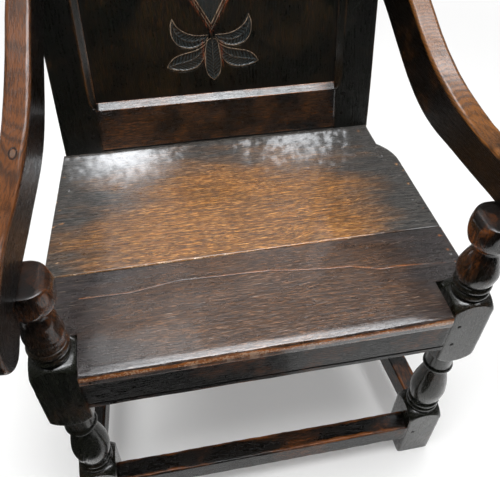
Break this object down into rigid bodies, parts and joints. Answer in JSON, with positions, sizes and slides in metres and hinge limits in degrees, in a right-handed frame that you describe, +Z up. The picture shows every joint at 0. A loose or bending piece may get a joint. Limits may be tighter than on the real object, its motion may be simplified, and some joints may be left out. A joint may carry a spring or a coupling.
{
  "type": "wainscot chair",
  "caption": "Joined oak armchair with turned front legs, a plank seat, downswept scrolled arms and a raked back that frames a panel carved with a lozenge and leaves.",
  "frame": {"origin": "on the floor, in the middle of the chair's overall width and depth", "axes": "+Z up, -Y towards the front of the chair, +X to the right as seen from the front"},
  "size_m": [0.6794, 0.7226, 1.0863],
  "materials": {
    "frame_oak": "near-black waxed oak, worn brown on its edges",
    "back_oak": "near-black waxed oak with a grey sheen",
    "panel_oak": "near-black waxed oak, shallow carving",
    "arm_oak": "red-brown waxed oak, worn bright along the edges",
    "seat_oak": "mid-brown waxed oak, rubbed golden where it is used",
    "peg_oak": "brown end grain"
  },
  "bodies": {
    "root": {"front_leg_left": "frame_oak", "front_leg_right": "frame_oak", "front_seat_rail": "frame_oak", "rear_seat_rail": "frame_oak", "side_seat_rail_left": "frame_oak", "side_seat_rail_right": "frame_oak", "front_stretcher": "frame_oak", "rear_stretcher": "frame_oak", "side_stretcher_left": "frame_oak", "side_stretcher_right": "frame_oak", "rear_post_left": "back_oak", "rear_post_right": "back_oak", "back_bottom_rail": "back_oak", "back_top_rail": "back_oak", "carved_panel": "panel_oak", "arm_left": "arm_oak", "arm_right": "arm_oak", "seat_board_front": "seat_oak", "seat_board_rear": "seat_oak", "front_frame_pegs": "peg_oak", "side_frame_pegs": "peg_oak", "rear_frame_pegs": "peg_oak", "back_pegs": "peg_oak", "arm_pegs": "peg_oak", "seat_pegs": "peg_oak"}
  },
  "joints": []
}
